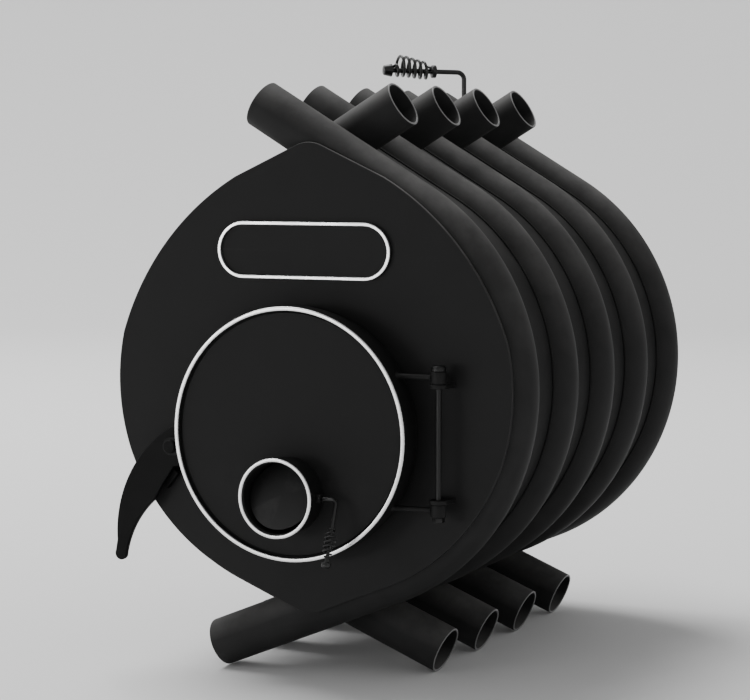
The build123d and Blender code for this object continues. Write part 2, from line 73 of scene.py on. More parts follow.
front_y = node_box("front_plate")[0].y
rear_y = node_box("back_plate")[1].y
plate_thick = node_box("front_plate")[1].y - front_y
door_x, _, door_z = middle_of("door_neck")
inlet_x, _, inlet_z = middle_of("inlet_pipe")
flue_x, _, flue_z = middle_of("flue_stub")


def ahead(distance):
    """The y of a plane this far in front of the front plate."""
    return front_y - distance


# Plane outlines: lists of (u, v) points
def arc(centre, radius, start, end, steps):
    """Points on a circle between two angles in degrees."""
    angles = [radians(start + (end - start) * k / steps) for k in range(steps + 1)]
    return [(centre[0] + radius * cos(a), centre[1] + radius * sin(a)) for a in angles]


def circle(centre, radius, steps=96):
    return arc(centre, radius, 0, 360, steps)[:-1]


def arc_through(first, middle, last, steps):
    """Points on the circle through three points, from the first to the last."""
    (ax, ay), (bx, by), (cx, cy) = first, middle, last
    d = 2 * (ax * (by - cy) + bx * (cy - ay) + cx * (ay - by))
    a2, b2, c2 = ax * ax + ay * ay, bx * bx + by * by, cx * cx + cy * cy
    ux = (a2 * (by - cy) + b2 * (cy - ay) + c2 * (ay - by)) / d
    uy = (a2 * (cx - bx) + b2 * (ax - cx) + c2 * (bx - ax)) / d
    radius = sqrt((ax - ux) ** 2 + (ay - uy) ** 2)
    start, mid, end = (atan2(y - uy, x - ux) for x, y in (first, middle, last))
    sweep = (end - start) % (2 * pi)
    if (mid - start) % (2 * pi) > sweep:
        sweep -= 2 * pi
    return [(ux + radius * cos(start + sweep * k / steps), uy + radius * sin(start + sweep * k / steps))
            for k in range(steps + 1)]


def rounded(corners, radius, steps=5):
    """A closed outline with its corners rounded; radius is one value or one per corner."""
    count = len(corners)
    radii = radius if isinstance(radius, (list, tuple)) else [radius] * count
    points = []
    for k, (corner, r) in enumerate(zip(corners, radii)):
        here = Vector(corner)
        back = Vector(corners[k - 1]) - here
        on = Vector(corners[(k + 1) % count]) - here
        if r <= 0 or back.length < 1e-9 or on.length < 1e-9:
            points.append((here.x, here.y))
            continue
        back, on = back.normalized(), on.normalized()
        half = acos(max(-1.0, min(1.0, back.dot(on)))) / 2
        if half > radians(89):
            points.append((here.x, here.y))
            continue
        foot = r / tan(half)
        bisector = (back + on).normalized()
        hub = here + bisector * (r / sin(half))
        start, end = here + back * foot - hub, here + on * foot - hub
        a0, a1 = atan2(start.y, start.x), atan2(end.y, end.x)
        turn = (a1 - a0 + pi) % (2 * pi) - pi
        points += [(hub.x + r * cos(a0 + turn * s / steps), hub.y + r * sin(a0 + turn * s / steps))
                   for s in range(steps + 1)]
    return points


def area(points):
    return sum(a[0] * b[1] - b[0] * a[1] for a, b in zip(points, points[1:] + points[:1])) / 2


def turned_round(points, anticlockwise):
    """The outline in this sense of rotation."""
    return points if (area(points) > 0) == anticlockwise else points[::-1]


def inset(points, distance):
    """The outline moved by a distance into the material, which lies to its left."""
    moved = []
    count = len(points)
    for k in range(count):
        here = Vector(points[k])
        before = (here - Vector(points[k - 1])).normalized()
        after = (Vector(points[(k + 1) % count]) - here).normalized()
        left = Vector((-before.y - after.y, before.x + after.x))
        moved.append(here + left * (distance / (1 + max(-0.9, before.dot(after)))))
    return [(p.x, p.y) for p in moved]


class Form:
    """Vertices in millimetres and faces of one piece, gathered from several shapes."""

    def __init__(self):
        self.verts = []
        self.faces = []
        self.flat = set()
        self.second = set()

    def add(self, verts, faces, flat=False):
        start = len(self.verts)
        self.verts += verts
        if flat:
            self.flat |= set(range(len(self.faces), len(self.faces) + len(faces)))
        self.faces += [[start + k for k in face] for face in faces]
        return self

    def rings(self, rings, closed=False, caps=True):
        """A skin over rings of the same number of points."""
        count = len(rings[0])
        verts = [v for ring in rings for v in ring]
        faces = []
        spans = len(rings) if closed else len(rings) - 1
        for r in range(spans):
            a, b = r * count, ((r + 1) % len(rings)) * count
            faces += [[a + k, a + (k + 1) % count, b + (k + 1) % count, b + k] for k in range(count)]
        if caps and not closed:
            faces += [list(range(count))[::-1], [(len(rings) - 1) * count + k for k in range(count)]]
        return self.add(verts, faces)

    def turned(self, origin, axis, profile, sides=72, closed=True, caps=True):
        """A profile of (height, radius) points turned about an axis."""
        origin, axis = Vector(origin), Vector(axis).normalized()
        u = axis.orthogonal().normalized()
        v = axis.cross(u)
        spokes = [u * cos(2 * pi * k / sides) + v * sin(2 * pi * k / sides) for k in range(sides)]
        rings = [[origin + axis * h + s * r for s in spokes] for h, r in profile]
        return self.rings(rings, closed=closed, caps=caps)

    def wire(self, points, radius, sides=14, closed=False, radii=None):
        """A round wire along points, with its section carried without twist."""
        points = [Vector(p) for p in points]
        count = len(points)
        tangents = []
        for k in range(count):
            before = points[k - 1] if closed or k > 0 else points[k]
            after = points[(k + 1) % count] if closed or k < count - 1 else points[k]
            tangents.append((after - before).normalized())
        u = tangents[0].orthogonal().normalized()
        rings = []
        for k in range(count):
            if k:
                u = (tangents[k - 1].rotation_difference(tangents[k])) @ u
            u = (u - tangents[k] * u.dot(tangents[k])).normalized()
            v = tangents[k].cross(u)
            r = radii[k] if radii else radius
            rings.append([points[k] + (u * cos(2 * pi * s / sides) + v * sin(2 * pi * s / sides)) * r
                          for s in range(sides)])
        return self.rings(rings, closed=closed)

    def slab(self, outlines, low, high, edge, place, steps=3):
        """A sheet with rounded edges: the first outline is its rim and the others its holes."""
        outlines = [turned_round(list(points), k == 0) for k, points in enumerate(outlines)]
        rims = [(0.0, low)]
        if edge:
            rims = [(edge * (1 - sin(pi / 2 * s / steps)), low + edge * (1 - cos(pi / 2 * s / steps)))
                    for s in range(steps + 1)]
        rims += [(offset, low + high - height) for offset, height in rims[::-1]]
        for points in outlines:
            rings = [[place(u, v, height) for u, v in inset(points, offset)] for offset, height in rims]
            self.rings(rings, caps=False)
        flat_edge = [inset(points, edge) if edge else points for points in outlines]
        tris = tessellate_polygon([[Vector((u, v, 0)) for u, v in points] for points in flat_edge])
        flat = [point for points in flat_edge for point in points]
        for height in (low, high):
            self.add([place(u, v, height) for u, v in flat], [list(t) for t in tris], flat=True)
        return self

    def piece(self, name, material, body, slot, nodes=(), sharp=40, merge=1e-4, second=None):
        """Makes the Blender object, which rides on a body and stands for these CAD nodes."""
        mesh = bpy.data.meshes.new(name)
        mesh.from_pydata([v * MM for v in self.verts], [], self.faces)
        flags = [k not in self.flat for k in range(len(self.faces))]
        mesh.polygons.foreach_set("use_smooth", flags)
        mesh.polygons.foreach_set("material_index", [int(k in self.second) for k in range(len(self.faces))])
        bm = bmesh.new()
        bm.from_mesh(mesh)
        bmesh.ops.remove_doubles(bm, verts=bm.verts, dist=merge * MM)
        bmesh.ops.recalc_face_normals(bm, faces=bm.faces)
        bm.to_mesh(mesh)
        bm.free()
        smooth = [polygon.use_smooth for polygon in mesh.polygons]
        mesh.set_sharp_from_angle(angle=radians(sharp))
        mesh.polygons.foreach_set("use_smooth", smooth)
        mesh.materials.append(material)
        if second:
            mesh.materials.append(second)
        obj = bpy.data.objects.new(name, mesh)
        bpy.context.scene.collection.objects.link(obj)
        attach(obj, body)
        if nodes:
            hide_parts(*nodes)
        return obj


def facing(x, z, y):
    """Places a sheet drawn in X and Z, with its thickness along Y."""
    return Vector((x, y, z))


def level(x, y, z):
    """Places a sheet drawn in X and Y, with its thickness along Z."""
    return Vector((x, y, z))


def tube_profile(outer, bore, low, high, lip, steps=4):
    """Closed profile (height, radius) of a pipe with rounded ends."""
    return rounded([(low, bore), (low, outer), (high, outer), (high, bore)], lip, steps)


# Materials
def group(name, inputs, outputs):
    """An empty shader group with these sockets; returns it with its input and output nodes."""
    tree = bpy.data.node_groups.new(name, "ShaderNodeTree")
    for title, kind, default in inputs:
        socket = tree.interface.new_socket(name=title, in_out="INPUT", socket_type="NodeSocket" + kind)
        socket.default_value = default
    for title, kind in outputs:
        tree.interface.new_socket(name=title, in_out="OUTPUT", socket_type="NodeSocket" + kind)
    return tree, tree.nodes.new("NodeGroupInput"), tree.nodes.new("NodeGroupOutput")


def add_node(tree, kind, values=(), **settings):
    """A node with its settings, and with values or links for its inputs by name or number."""
    node = tree.nodes.new("ShaderNode" + kind)
    for key, value in settings.items():
        setattr(node, key, value)
    for key, value in dict(values).items():
        if isinstance(value, bpy.types.NodeSocket):
            tree.links.new(value, node.inputs[key])
        else:
            node.inputs[key].default_value = value
    return node


def noise(tree, vector, scale, detail=3.0, rough=0.5):
    values = {"Vector": vector, "Scale": scale, "Detail": detail, "Roughness": rough}
    return add_node(tree, "TexNoise", values).outputs[0]


def spread(tree, value, low, high, to_low=0.0, to_high=1.0):
    """A value whose range from low to high is carried over to another range."""
    return add_node(tree, "MapRange", {0: value, 1: low, 2: high, 3: to_low, 4: to_high}).outputs[0]


def combined(tree, a, b, operation="MULTIPLY"):
    return add_node(tree, "Math", {0: a, 1: b}, operation=operation).outputs[0]


def make_grain():
    """Sprayed stove paint: fine orange peel, a slow waviness of the sheet and uneven sheen."""
    tree, source, sink = group("sprayed_grain", [("Peel", "Float", 900.0), ("Wave", "Float", 9.0)],
                               [("Height", "Float"), ("Blotch", "Float")])
    place = add_node(tree, "TexCoord").outputs["Object"]
    peel = noise(tree, place, source.outputs["Peel"], 2.0, 0.55)
    wave = noise(tree, place, source.outputs["Wave"], 2.0, 0.4)
    blotch = noise(tree, place, 28.0, 5.0, 0.6)
    peel_height, wave_height = 0.00007, 0.0004
    height = combined(tree, combined(tree, peel, peel_height), combined(tree, wave, wave_height), "ADD")
    tree.links.new(height, sink.inputs["Height"])
    tree.links.new(blotch, sink.inputs["Blotch"])
    return tree


def make_dust_and_top_light():
    """How much fine ash lies on a surface: on what faces up, and in patches; where the amount is high, the
    lighter faces turned up are painted top light.
    """
    tree, source, sink = group("dust_and_top_light_mask", [("Amount", "Float", 0.2)], [("Mask", "Float")])
    facing_up = add_node(tree, "SeparateXYZ", {0: add_node(tree, "NewGeometry").outputs["Normal"]}).outputs[2]
    up = spread(tree, facing_up, 0.1, 0.9)
    place = add_node(tree, "TexCoord").outputs["Object"]
    patch = spread(tree, noise(tree, place, 14.0, 6.0, 0.65), 0.36, 0.64, 0.45, 1.0)
    tree.links.new(combined(tree, combined(tree, up, patch), source.outputs["Amount"]), sink.inputs["Mask"])
    return tree


def make_rub():
    """Edges where the paint is rubbed thin, from the mesh's pointiness and a broken noise."""
    tree, source, sink = group("edge_rub", [("Amount", "Float", 0.5)], [("Mask", "Float")])
    sharp = spread(tree, add_node(tree, "NewGeometry").outputs["Pointiness"], 0.57, 0.68)
    place = add_node(tree, "TexCoord").outputs["Object"]
    broken = spread(tree, noise(tree, place, 60.0, 4.0, 0.6), 0.4, 0.65)
    worn = combined(tree, sharp, broken)
    tree.links.new(combined(tree, worn, source.outputs["Amount"]), sink.inputs["Mask"])
    return tree


grain_group = make_grain()
dust_and_top_light_group = make_dust_and_top_light()
rub_group = make_rub()


def use(tree, node_tree, values=()):
    node = add_node(tree, "Group")
    node.node_tree = node_tree
    for key, value in dict(values).items():
        node.inputs[key].default_value = value
    return node


def mixed(tree, mask, first, second):
    """Colour between two colours or links, by a mask."""
    node = add_node(tree, "Mix", data_type="RGBA")
    for key, value in ((0, mask), (6, first), (7, second)):
        if isinstance(value, bpy.types.NodeSocket):
            tree.links.new(value, node.inputs[key])
        else:
            node.inputs[key].default_value = value
    return node.outputs[2]


def grey(value, warm=0.0):
    return (value * (1 + warm), value, value * (1 - warm), 1.0)


# Colour of ash settled on faces turned up; on the tubes and plate rims it also serves as painted top light.
dust_and_top_light_colour = grey(0.12, 0.02)
rubbed_paint = grey(0.07)


def new_material(name):
    material = bpy.data.materials.new(name)
    material.use_nodes = True
    tree = material.node_tree
    return material, tree, tree.nodes["Principled BSDF"]


def bumped(tree, shader, height, strength=1.0):
    bump = add_node(tree, "Bump", {"Height": height, "Strength": strength, "Distance": 1.0})
    tree.links.new(bump.outputs[0], shader.inputs["Normal"])


def stove_paint(name, tone, rough, peel=900.0, dust_and_top_light=0.12, rub=0.35, specular=0.3, mottle=1.0):
    """Heat-proof matt black paint on steel; mottle says how uneven its tone and sheen are."""
    material, tree, shader = new_material(name)
    grain = use(tree, grain_group, {"Peel": peel})
    dust_and_top_light_node = use(tree, dust_and_top_light_group, {"Amount": dust_and_top_light})
    rubbed = use(tree, rub_group, {"Amount": rub})
    blotch = spread(tree, grain.outputs["Blotch"], 0.3, 0.7)
    colour = mixed(tree, blotch, grey(tone * (1 - 0.15 * mottle)), grey(tone * (1 + 0.15 * mottle)))
    # Faces turned up are lightened: settled ash, and where the amount is high, painted top light.
    colour = mixed(tree, dust_and_top_light_node.outputs["Mask"], colour, dust_and_top_light_colour)
    colour = mixed(tree, rubbed.outputs["Mask"], colour, rubbed_paint)
    tree.links.new(colour, shader.inputs["Base Color"])
    sheen = spread(tree, grain.outputs["Blotch"], 0.3, 0.7, rough - 0.05 * mottle, rough + 0.06 * mottle)
    tree.links.new(sheen, shader.inputs["Roughness"])
    shader.inputs["Specular IOR Level"].default_value = specular
    bumped(tree, shader, grain.outputs["Height"], 0.5)
    return material


# The tubes' high amount of settled ash lightens their tops as painted top light.
tube_paint = stove_paint("tube_paint", 0.02, 0.62, dust_and_top_light=0.75, rub=0.0, specular=0.12)
strip_paint = stove_paint("strip_paint", 0.01, 0.62, dust_and_top_light=0.3, rub=0.0, specular=0.1)
plate_paint = stove_paint("plate_paint", 0.0053, 0.58, dust_and_top_light=0.02, specular=0.22, mottle=0.35)
# Plate rim faces: a lighter paint, a painted highlight along the plates' edges; its high settled-ash amount
# lightens the top edges further, and its rub mask adds edge wear.
rim_highlight_paint = stove_paint("rim_highlight_paint", 0.018, 0.5, dust_and_top_light=1.0, rub=0.6, specular=0.2)
door_paint = stove_paint("door_paint", 0.0058, 0.58, dust_and_top_light=0.02, specular=0.2, mottle=0.2)
iron_paint = stove_paint("iron_paint", 0.003, 0.5, peel=600.0, rub=0.12, specular=0.1)
flap_paint = stove_paint("flap_paint", 0.009, 0.5, dust_and_top_light=0.0, mottle=0.4)
# Tube lips: a light grey paint, a painted highlight along the rims of the tube mouths.
lip_highlight_paint = stove_paint("lip_highlight_paint", 0.19, 0.42, dust_and_top_light=0.0, rub=0.0)


def steel(name, tone, rough, warm=0.0, scratch=400.0):
    """Bare steel with fine scratches and handling marks."""
    material, tree, shader = new_material(name)
    place = add_node(tree, "TexCoord").outputs["Object"]
    marks = noise(tree, place, scratch, 4.0, 0.7)
    smear = noise(tree, place, 45.0, 3.0, 0.5)
    colour = mixed(tree, smear, grey(tone * 0.8, warm), grey(tone * 1.15, warm))
    tree.links.new(colour, shader.inputs["Base Color"])
    tree.links.new(spread(tree, smear, 0.3, 0.7, rough * 0.8, rough * 1.25), shader.inputs["Roughness"])
    shader.inputs["Metallic"].default_value = 1.0
    bumped(tree, shader, combined(tree, marks, 0.00003), 0.6)
    return material


polished = steel("polished_trim", 0.93, 0.28, scratch=900.0)
bare_steel = steel("bare_steel", 0.35, 0.35)
dark_steel = steel("dark_steel", 0.035, 0.42)
wire_steel = steel("grip_wire", 0.05, 0.3)
fired_steel = steel("fired_steel", 0.09, 0.6, warm=0.12)


def rope_material():
    material, tree, shader = new_material("seal_rope")
    place = add_node(tree, "TexCoord").outputs["Object"]
    fuzz = noise(tree, place, 1200.0, 4.0, 0.7)
    stain = noise(tree, place, 30.0, 3.0, 0.5)
    tree.links.new(mixed(tree, stain, grey(0.035), grey(0.11, 0.05)), shader.inputs["Base Color"])
    shader.inputs["Roughness"].default_value = 0.92
    bumped(tree, shader, combined(tree, fuzz, 0.0003), 0.8)
    return material


seal_rope = rope_material()

# Tubes with rounded lips
right_tubes = [f"tube_right_{k}" for k in range(1, 6)]
left_tubes = [f"tube_left_{k}" for k in range(1, 5)]
arc_length = arc_radius * (top_turn + bottom_turn)
tube_length = bottom_run + arc_length + top_run
tube_sides = 72
bend_spans = 72
run_stations = [60, 130, 200]
lip_rings = 5


def on_tube(side, y, distance):
    """Centre, outward and forward directions at this distance from a tube's low mouth."""
    over = 0.0
    if distance < bottom_run:
        turn, over = -bottom_turn, distance - bottom_run
    elif distance > bottom_run + arc_length:
        turn, over = top_turn, distance - bottom_run - arc_length
    else:
        turn = (distance - bottom_run) / arc_radius - bottom_turn
    outward = Vector((side * cos(turn), 0, sin(turn)))
    along = Vector((-side * sin(turn), 0, cos(turn)))
    return Vector((0, y, centre_z)) + outward * arc_radius + along * over, outward, along


def tube_stations(lip=1.3):
    """Distance and radius of each ring of a tube's skin, outside up and inside down."""
    bends = [bottom_run + arc_length * k / bend_spans for k in range(bend_spans + 1)]
    high_stations = [bottom_run + arc_length + d for d in run_stations]
    ends = rounded([(0, tube_bore), (0, tube_radius), (tube_length, tube_radius), (tube_length, tube_bore)],
                   lip, lip_rings - 1)
    low_in, low_out, high_out, high_in = (ends[k * lip_rings:(k + 1) * lip_rings] for k in range(4))
    outside = [(s, tube_radius) for s in run_stations + bends + high_stations]
    inside = [(s, tube_bore) for s, _ in outside[::-1]]
    return low_in + low_out + outside + high_out + high_in + inside


def tube(name, side):
    y = middle_of(name).y
    across = Vector((0, 1, 0))
    rings = []
    for distance, radius in tube_stations():
        centre, outward, _ = on_tube(side, y, distance)
        spokes = [2 * pi * k / tube_sides for k in range(tube_sides)]
        rings.append([centre + (outward * cos(a) + across * sin(a)) * radius for a in spokes])
    form = Form().rings(rings, closed=True)
    # The lip spans take the light grey lip paint, a painted highlight on the tube mouths.
    lip_spans = [start + k for start in (0, len(rings) // 2) for k in range(1, 2 * lip_rings - 2)]
    form.second = {span * tube_sides + k for span in lip_spans for k in range(tube_sides)}
    form.piece(name + "_skin", tube_paint, "stove", "tube_enamel", [name], second=lip_highlight_paint)


for name in right_tubes:
    tube(name, 1)
for name in left_tubes:
    tube(name, -1)


# Weld beads where the sheet strips meet the tubes
def weld_bead(form, points, radius, pitch=3.6):
    """A rippled bead along points."""
    run = 0.0
    radii = [radius]
    for a, b in zip(points, points[1:]):
        run += (b - a).length
        radii.append(radius * (1 + 0.16 * sin(2 * pi * run / pitch)))
    form.wire(points, radius, sides=8, radii=radii)


def groove_line(side, y, out, reach, step=1.2, ridge_gap=6):
    """Points along the groove beside a tube, from the bottom ridge to the top one."""
    points = []
    steps = int(tube_length / step)
    for k in range(steps + 1):
        centre, outward, _ = on_tube(side, y, tube_length * k / steps)
        point = centre + outward * out
        if point.x * side > ridge_gap:
            points.append(point + Vector((0, reach, 0)))
    return points


bead_radius = 1.6
bead_out = strip_face + 0.8
bead_reach = sqrt(tube_radius ** 2 - bead_out ** 2) + 0.5
for names, side in ((right_tubes, 1), (left_tubes, -1)):
    for name in names:
        beads = Form()
        y = middle_of(name).y
        reaches = [-1, 1]
        if name == right_tubes[0]:
            reaches = [1]
        if name == right_tubes[-1]:
            reaches = [-1]
        for way in reaches:
            weld_bead(beads, groove_line(side, y, bead_out, way * bead_reach), bead_radius)
        beads.piece(name + "_welds", strip_paint, "stove", "strip_enamel")


# Front and back plates
def polar(lap, angle):
    r = arc_radius + lap
    return (r * cos(radians(angle)), r * sin(radians(angle)))


side_lap, shoulder_lap, haunch_lap, thigh_lap, heel_lap = 11.5, 7.5, 19.5, 8.0, 5.5
side_up, side_down, shoulder_at, haunch_at, thigh_at, heel_at = 13, -20, 35, 68.8, -47, -68.7
crown_rise, keel_drop, tip_fillet = 4.5, 6.6, 40.0
plate_x = middle_of("front_plate").x


def drum_outline():
    """The pointed outline of the plates, in X and Z."""
    crown = (0, arc_radius / sin(top_turn) + crown_rise)
    keel = (0, -arc_radius / sin(bottom_turn) - keel_drop)
    side_top, side_low = polar(side_lap, side_up), polar(side_lap, side_down)
    haunch, heel = polar(haunch_lap, haunch_at), polar(heel_lap, heel_at)
    right = arc_through(heel, polar(thigh_lap, thigh_at), side_low, 40)[:-1]
    right += arc_through(side_low, polar(side_lap, 0), side_top, 40)[:-1]
    right += arc_through(side_top, polar(shoulder_lap, shoulder_at), haunch, 50)
    left = [(-x, z) for x, z in right[::-1]]
    corners = [keel] + right + [crown] + left
    radii = [tip_fillet] + [0] * len(right) + [tip_fillet] + [0] * len(left)
    return [(x + plate_x, z + centre_z) for x, z in rounded(corners, radii, 10)]


neck_wall = 6.0
neck_bore = (node_box("door_neck")[1].x - node_box("door_neck")[0].x) / 2 - neck_wall
flue_radius = 60.0
drum = drum_outline()
slab_rim_spans = 7


def drum_sheet(name, hole, low, high, node):
    """A plate of the drum with its round hole; the faces of its rim have a lighter paint, a painted highlight
    along the plate's edge.
    """
    sheet = Form().slab([drum, hole], low, high, 0.9, facing)
    sheet.second = set(range(slab_rim_spans * len(drum)))
    sheet.piece(name, plate_paint, "stove", "plate_enamel", [node], second=rim_highlight_paint)


door_hole = circle((door_x, door_z), neck_bore, 120)
drum_sheet("front_sheet", door_hole, front_y, front_y + plate_thick, "front_plate")
flue_hole = circle((flue_x, flue_z), flue_radius, 96)
drum_sheet("back_sheet", flue_hole, rear_y - plate_thick, rear_y, "back_plate")

# Name plate and its raised rim
name_low, name_high = node_box("name_plate")
name_x, name_z = (name_low.x + name_high.x) / 2, (name_low.z + name_high.z) / 2


def stadium(half_width, half_height, steps=24):
    straight = half_width - half_height
    return (arc((name_x + straight, name_z), half_height, -90, 90, steps)
            + arc((name_x - straight, name_z), half_height, 90, 270, steps))


name_out = ((name_high.x - name_low.x) / 2, (name_high.z - name_low.z) / 2)
rim_line = 4.2
Form().slab([stadium(*name_out)], name_low.y, name_high.y, 0.4, facing).piece(
    "name_backing", plate_paint, "stove", "plate_enamel", ["name_plate"])
rim_low, rim_high = node_box("name_plate_rim")
Form().slab([stadium(*name_out), stadium(name_out[0] - rim_line, name_out[1] - rim_line)],
            rim_low.y, rim_high.y, 0.9, facing, 4).piece(
    "name_rim", polished, "stove", "polished_trim", ["name_plate_rim"])

# Door neck, lid and trim
forward = (0, -1, 0)
door_at = (door_x, front_y, door_z)
inlet_at = (inlet_x, front_y, inlet_z)
neck_front = front_y - node_box("door_neck")[0].y
neck_radius = neck_bore + neck_wall
neck = Form().turned(door_at, forward, tube_profile(neck_radius, neck_bore, 0, neck_front, 0.8), 144)
neck.piece("door_collar", plate_paint, "stove", "plate_enamel", ["door_neck"])

lid_low, lid_high = node_box("door_lid")
lid_radius = (lid_high.x - lid_low.x) / 2
lid_wall, lid_back, lid_front = 2.5, 20.0, 46.5
face_front, face_back, face_edge = 44.0, 40.0, lid_radius - 11.5
inlet_radius, inlet_wall = 46.0, 3.0
lid_inner = lid_radius - lid_wall
seat_step, seat_reach, seat_lip = 1.6, 3.6, 4.4
lid_profile = rounded([(lid_back, lid_inner), (lid_back, lid_radius), (lid_front, lid_radius),
                       (lid_front, lid_inner), (face_front - seat_step, lid_inner),
                       (face_front - seat_step, lid_inner - seat_reach), (face_front, lid_inner - seat_lip),
                       (face_front, face_edge), (face_back, face_edge), (face_back, lid_inner)],
                      [0.8, 0.8, 0.4, 0.2, 0.8, 0.6, 1.2, 0, 0, 0.5], 6)
lid = Form().turned(door_at, forward, lid_profile, 160)
lid.slab([circle((door_x, door_z), face_edge, 160), circle((inlet_x, inlet_z), inlet_radius, 96)],
         ahead(face_front), ahead(face_back), 0, facing)
lid.piece("door_skin", door_paint, "door", "door_enamel", ["door_lid"])

trim_low, trim_high = node_box("door_trim_ring")
trim_outer = (trim_high.x - trim_low.x) / 2
trim_width = 5.0
trim_inner, trim_front = trim_outer - trim_width, front_y - trim_low.y
trim_profile = rounded([(lid_front, trim_inner), (lid_front, trim_outer),
                        (trim_front, trim_outer), (trim_front, trim_inner)], 1.3, 5)
Form().turned(door_at, forward, trim_profile, 192).piece(
    "door_trim", polished, "door", "polished_trim", ["door_trim_ring"])

# Rope seal: strands wound round the ring
rope_y = middle_of("door_seal_rope").y
rope_ring = lid_radius - 8.0
strand_count, strand_turns, strand_steps = 6, 46, 14
strand_radius, strand_offset = 2.15, 2.5
rope = Form()
for strand in range(strand_count):
    points = []
    steps = strand_turns * strand_steps
    for k in range(steps):
        round_ring = 2 * pi * k / steps
        twist = 2 * pi * (strand / strand_count) + strand_turns * round_ring
        reach = rope_ring + strand_offset * cos(twist)
        points.append(Vector((door_x + reach * cos(round_ring), rope_y + strand_offset * sin(twist),
                              door_z + reach * sin(round_ring))))
    rope.wire(points, strand_radius, sides=7, closed=True)
rope.piece("rope_strands", seal_rope, "door", "seal_rope", ["door_seal_rope"], sharp=80)

channel_low, channel_high = node_box("seal_channel")
channel_outer = (channel_high.x - channel_low.x) / 2
channel_wall = 3.0
channel_profile = tube_profile(channel_outer, channel_outer - channel_wall, front_y - channel_high.y,
                               front_y - channel_low.y, 0.7)
Form().turned(door_at, forward, channel_profile, 144).piece(
    "rope_channel", fired_steel, "door", "fired_steel", ["seal_channel"])

# Heat shield with its studs, spacers and nuts
shield_low, shield_high = node_box("heat_shield")
shield_radius = (shield_high.x - shield_low.x) / 2
stud_radius, stud_angles = 4.0, (20, 90, 160)
stud_ring = lid_radius - 55.0
stud_spots = [(door_x + stud_ring * cos(radians(a)), door_z + stud_ring * sin(radians(a)))
              for a in stud_angles]
shield_outlines = [circle((door_x, door_z), shield_radius, 144), circle((inlet_x, inlet_z), inlet_radius, 72)]
shield_outlines += [circle(spot, stud_radius, 32) for spot in stud_spots]
Form().slab(shield_outlines, shield_low.y, shield_high.y, 0.5, facing).piece(
    "inner_shield", fired_steel, "door", "fired_steel", ["heat_shield"])


def hexagon(x, z, width, start=30.0):
    reach = width / 2 / cos(pi / 6)
    return [(x + reach * cos(radians(start + 60 * k)), z + reach * sin(radians(start + 60 * k)))
            for k in range(6)]


def thread(low, high, radius, pitch=1.25, depth=0.35):
    """Profile of a threaded end with a chamfered tip, from its low end to its high one."""
    points = [(low, pole), (low, radius)]
    turns = int((high - low - 1.0) / pitch)
    for k in range(turns):
        points += [(low + k * pitch + pitch * 0.5, radius - depth), (low + (k + 1) * pitch, radius)]
    return points + [(high - 0.8, radius), (high, radius - 0.8), (high, pole)]


spacer_radius, spacer_bore = 7.5, 4.1
nut_width, nut_bore = 13.0, 4.05
shield_fixings = Form()
spacer_low, spacer_high = node_box("shield_spacers")
for x, z in stud_spots:
    spacer = tube_profile(spacer_radius, spacer_bore, front_y - spacer_high.y, front_y - spacer_low.y, 0.4)
    shield_fixings.turned((x, front_y, z), forward, spacer, 40)
shield_fixings.piece("spacer_sleeves", fired_steel, "door", "fired_steel", ["shield_spacers"])
studs = Form()
stud_box = node_box("shield_studs")
for x, z in stud_spots:
    stud = thread(0, stud_box[1].y - stud_box[0].y, stud_radius)
    studs.turned((x, stud_box[0].y, z), (0, 1, 0), stud, 28)
studs.piece("threaded_studs", bare_steel, "door", "bare_steel", ["shield_studs"])
nuts = Form()
nut_box = node_box("shield_nuts")
for x, z in stud_spots:
    nut_plan = [hexagon(x, z, nut_width), circle((x, z), nut_bore, 28)]
    nuts.slab(nut_plan, nut_box[0].y, nut_box[1].y, 0.7, facing)
nuts.piece("shield_hex_nuts", bare_steel, "door", "bare_steel", ["shield_nuts"])

def domed_pin(length, radius, head_radius, head_height, dome, bevel, head_bevel):
    """Profile of a pin from its bevelled tip to its domed head."""
    under_head = length - head_height
    profile = [(0, pole), (0, radius - bevel), (bevel, radius), (under_head, radius),
               (under_head, head_radius - head_bevel), (under_head + bevel, head_radius)]
    profile += [(length - dome + dome * sin(radians(a)), head_radius - dome + dome * cos(radians(a)))
                for a in range(0, 91, 15)]
    return profile + [(length, pole)]


# Hinge
pin_x, pin_y, _ = middle_of("hinge_pin")
lug_low, lug_high = node_box("hinge_lugs")
lug_thick, lug_width = 5.0, 22.0
pin_radius, pin_nut_bore = 3.5, 3.55
eye_radius, eye_bore, eye_half = 9.5, 3.6, 7.5
arm_radius = 3.5
lugs = Form()
for low in (lug_low.z, lug_high.z - lug_thick):
    plan = arc((pin_x, pin_y), lug_width / 2, 180, 360, 28)
    plan += [(pin_x + lug_width / 2, front_y), (pin_x - lug_width / 2, front_y)]
    lugs.slab([plan, circle((pin_x, pin_y), pin_radius, 32)], low, low + lug_thick, 0.6, level)
lugs.piece("hinge_ears", plate_paint, "stove", "plate_enamel", ["hinge_lugs"])
lug_welds = Form()
for low in (lug_low.z, lug_high.z - lug_thick):
    for height in (low - 0.4, low + lug_thick + 0.4):
        line = [Vector((pin_x - lug_width / 2 + 0.5 + (lug_width - 1) * k / 24, front_y - 0.5, height))
                for k in range(25)]
        weld_bead(lug_welds, line, 1.3)
lug_welds.piece("hinge_ear_welds", plate_paint, "stove", "plate_enamel")

